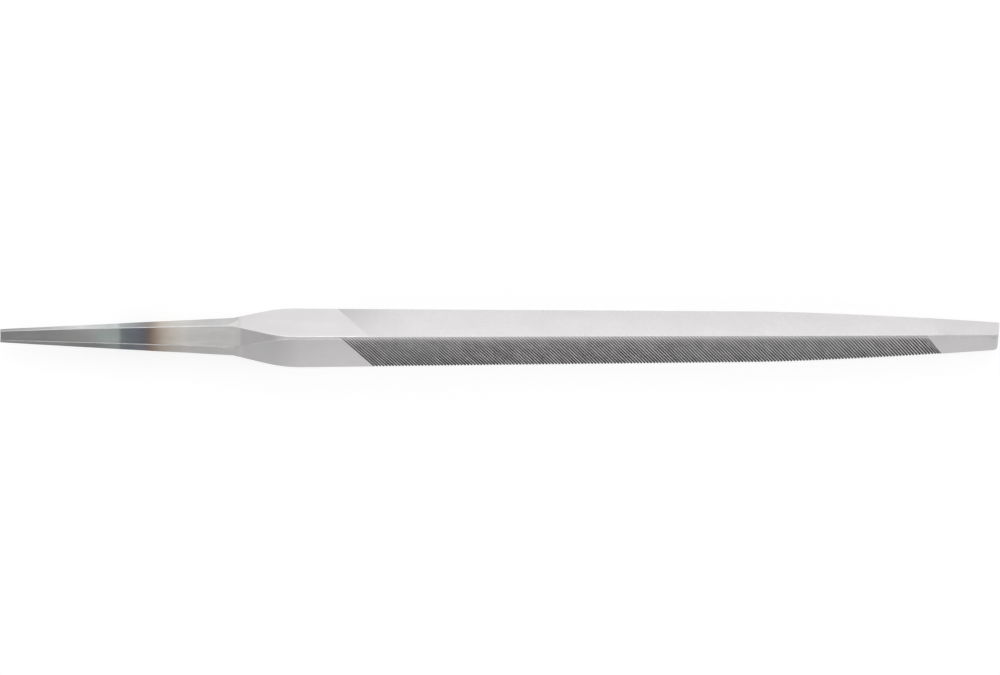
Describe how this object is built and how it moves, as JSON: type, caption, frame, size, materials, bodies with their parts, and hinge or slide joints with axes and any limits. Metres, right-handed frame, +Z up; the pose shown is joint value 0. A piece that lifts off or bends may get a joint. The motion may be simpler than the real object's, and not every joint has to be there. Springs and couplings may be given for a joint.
{
  "type": "triangular saw file",
  "caption": "Tapered three-square saw file with single-cut faces, a smooth heel and point, and a bare tang for a handle.",
  "frame": {"origin": "bottom centre of the box, on the plane of the flat that the file lies on", "axes": "+X along the file from the tang to the point, +Z up from the lower flat to the opposite edge"},
  "size_m": [0.1956, 0.0116, 0.01],
  "materials": {
    "tool_steel": "fine ground flats, darker oblique single cut, temper colours on the tang"
  },
  "bodies": {
    "root": {"file_body": "tool_steel"}
  },
  "joints": []
}
